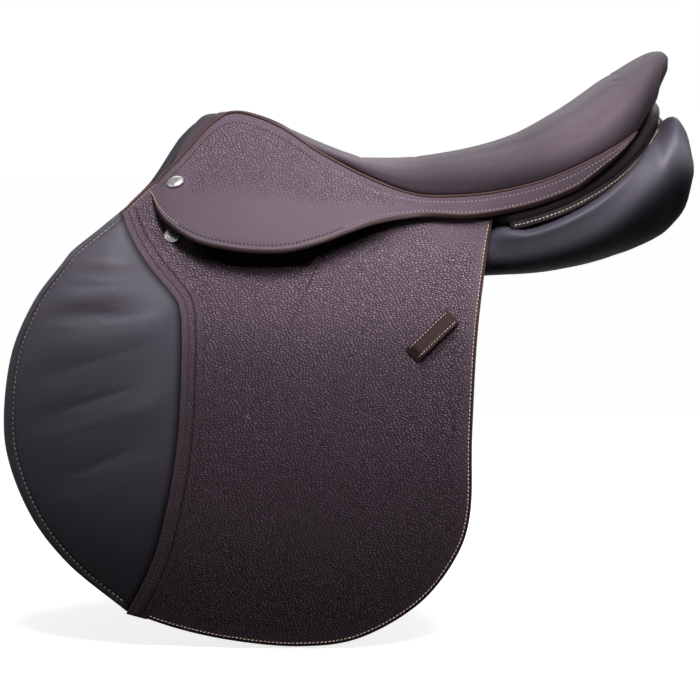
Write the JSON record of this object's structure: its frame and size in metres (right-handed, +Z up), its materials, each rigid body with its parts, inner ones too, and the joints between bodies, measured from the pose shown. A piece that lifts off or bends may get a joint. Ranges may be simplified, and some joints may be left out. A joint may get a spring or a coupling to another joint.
{
  "type": "jumping saddle",
  "caption": "Close-contact jumping saddle with a dished seat, forward padded flaps that lift, skirts over stirrup bars with turning catches, girth straps and stuffed panels.",
  "frame": {"origin": "on the midline, level with the bearing line of the panels, under the lowest point of the seat", "axes": "+X from the pommel back to the cantle, +Y to the right side of the horse, +Z up"},
  "size_m": [0.5763, 0.3748, 0.4869],
  "materials": {
    "seat_leather": "smooth, satin",
    "grained_leather": "grained, satin",
    "calf_leather": "smooth, soft sheen",
    "roll_leather": "polished",
    "welt_leather": "satin",
    "strap_leather": "waxed",
    "foam": "open cell foam",
    "webbing": "woven",
    "nickel": "polished",
    "steel": "brushed",
    "tree_wood": "plain laminate"
  },
  "bodies": {
    "saddle": {"seat_cover": "seat_leather", "seat_foam": "foam", "seat_web": "webbing", "cantle_facing": "seat_leather", "cantle_roll": "roll_leather", "pommel_facing": "seat_leather", "tree_head": "tree_wood", "tree_cantle": "tree_wood", "head_plate": "steel", "channel_lining": "strap_leather", "skirt_nails": "nickel", "flap_nails": "nickel", "left_tree_rail": "tree_wood", "right_tree_rail": "tree_wood", "left_tree_point": "tree_wood", "right_tree_point": "tree_wood", "left_seat_welt": "welt_leather", "right_seat_welt": "welt_leather", "left_skirt": "grained_leather", "right_skirt": "grained_leather", "left_flap_top": "grained_leather", "right_flap_top": "grained_leather", "left_knee_pad_top": "calf_leather", "right_knee_pad_top": "calf_leather", "left_knee_block": "foam", "right_knee_block": "foam", "left_sweat_flap": "strap_leather", "right_sweat_flap": "strap_leather", "left_panel": "calf_leather", "right_panel": "calf_leather", "left_girth_web": "webbing", "right_girth_web": "webbing", "left_buckle_guard": "strap_leather", "right_buckle_guard": "strap_leather", "left_stirrup_bar": "steel", "right_stirrup_bar": "steel", "left_catch_pin": "steel", "right_catch_pin": "steel"},
    "left_flap": {"left_flap": "grained_leather", "left_knee_pad": "calf_leather", "left_keeper": "grained_leather"},
    "left_skirt_lobe": {"left_skirt_lobe": "grained_leather"},
    "left_bar_catch": {"left_bar_catch": "steel"},
    "left_front_billet": {"left_front_billet": "strap_leather"},
    "left_middle_billet": {"left_middle_billet": "strap_leather"},
    "left_rear_billet": {"left_rear_billet": "strap_leather"},
    "right_flap": {"right_flap": "grained_leather", "right_knee_pad": "calf_leather", "right_keeper": "grained_leather"},
    "right_skirt_lobe": {"right_skirt_lobe": "grained_leather"},
    "right_bar_catch": {"right_bar_catch": "steel"},
    "right_front_billet": {"right_front_billet": "strap_leather"},
    "right_middle_billet": {"right_middle_billet": "strap_leather"},
    "right_rear_billet": {"right_rear_billet": "strap_leather"}
  },
  "joints": [
    {"name": "left_flap_lift", "type": "hinge", "parent": "saddle", "child": "left_flap", "pos_m": [-0.12, -0.1281, 0.012], "axis": [-1, 0, 0], "range_deg": [0, 100]},
    {"name": "left_skirt_lift", "type": "hinge", "parent": "saddle", "child": "left_skirt_lobe", "pos_m": [-0.1, -0.12285, 0.05], "axis": [-1, 0, 0], "range_deg": [0, 70]},
    {"name": "left_catch_turn", "type": "hinge", "parent": "saddle", "child": "left_bar_catch", "pos_m": [-0.06981, -0.11713, 0.03895], "axis": [0, -0.8477, 0.5305], "range_deg": [0, 80]},
    {"name": "left_front_billet_swing", "type": "hinge", "parent": "saddle", "child": "left_front_billet", "pos_m": [-0.04806, -0.11514, 0.00983], "axis": [0, -0.9806, 0.1961], "range_deg": [-8, 8]},
    {"name": "left_middle_billet_swing", "type": "hinge", "parent": "saddle", "child": "left_middle_billet", "pos_m": [-0.01206, -0.11514, 0.00983], "axis": [0, -0.9806, 0.1961], "range_deg": [-8, 8]},
    {"name": "left_rear_billet_swing", "type": "hinge", "parent": "saddle", "child": "left_rear_billet", "pos_m": [0.02394, -0.11514, 0.00983], "axis": [0, -0.9806, 0.1961], "range_deg": [-8, 8]},
    {"name": "right_flap_lift", "type": "hinge", "parent": "saddle", "child": "right_flap", "pos_m": [-0.12, 0.1281, 0.012], "axis": [1, 0, 0], "range_deg": [0, 100]},
    {"name": "right_skirt_lift", "type": "hinge", "parent": "saddle", "child": "right_skirt_lobe", "pos_m": [-0.1, 0.12285, 0.05], "axis": [1, 0, 0], "range_deg": [0, 70]},
    {"name": "right_catch_turn", "type": "hinge", "parent": "saddle", "child": "right_bar_catch", "pos_m": [-0.06981, 0.11713, 0.03895], "axis": [0, -0.8477, -0.5305], "range_deg": [0, 80]},
    {"name": "right_front_billet_swing", "type": "hinge", "parent": "saddle", "child": "right_front_billet", "pos_m": [-0.04806, 0.11514, 0.00983], "axis": [0, -0.9806, -0.1961], "range_deg": [-8, 8]},
    {"name": "right_middle_billet_swing", "type": "hinge", "parent": "saddle", "child": "right_middle_billet", "pos_m": [-0.01206, 0.11514, 0.00983], "axis": [0, -0.9806, -0.1961], "range_deg": [-8, 8]},
    {"name": "right_rear_billet_swing", "type": "hinge", "parent": "saddle", "child": "right_rear_billet", "pos_m": [0.02394, 0.11514, 0.00983], "axis": [0, -0.9806, -0.1961], "range_deg": [-8, 8]}
  ],
  "couplings": [
    {"joint": "left_middle_billet_swing", "follows": "left_front_billet_swing", "ratio": 1},
    {"joint": "left_rear_billet_swing", "follows": "left_front_billet_swing", "ratio": 1},
    {"joint": "right_middle_billet_swing", "follows": "right_front_billet_swing", "ratio": 1},
    {"joint": "right_rear_billet_swing", "follows": "right_front_billet_swing", "ratio": 1}
  ]
}
